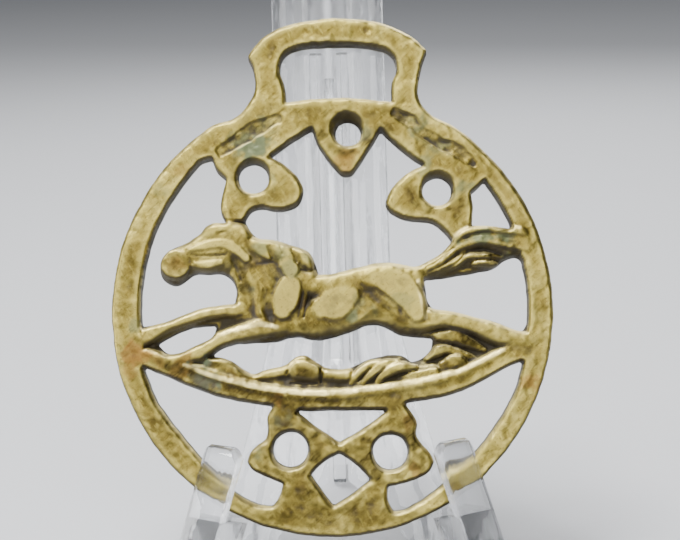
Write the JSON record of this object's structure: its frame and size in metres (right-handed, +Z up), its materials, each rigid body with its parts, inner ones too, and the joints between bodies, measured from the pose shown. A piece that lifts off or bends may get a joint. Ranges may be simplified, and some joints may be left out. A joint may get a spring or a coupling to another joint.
{
  "type": "horse brass on a display easel",
  "caption": "Cast horse brass, a pierced disc with a galloping horse in relief under a strap loop, leaning in a clear plastic easel.",
  "frame": {"origin": "on the table under the middle of the whole object, at the bottom centre of its bounding box", "axes": "+Z up, -Y towards the front that the brass faces, +X to the right as seen from the front"},
  "size_m": [0.0754, 0.0726, 0.0987],
  "materials": {
    "aged_brass": "satin",
    "clear_plastic": "gloss"
  },
  "bodies": {
    "root": {"horse_brass": "aged_brass", "easel_front": "clear_plastic", "easel_strut": "clear_plastic"}
  },
  "joints": []
}
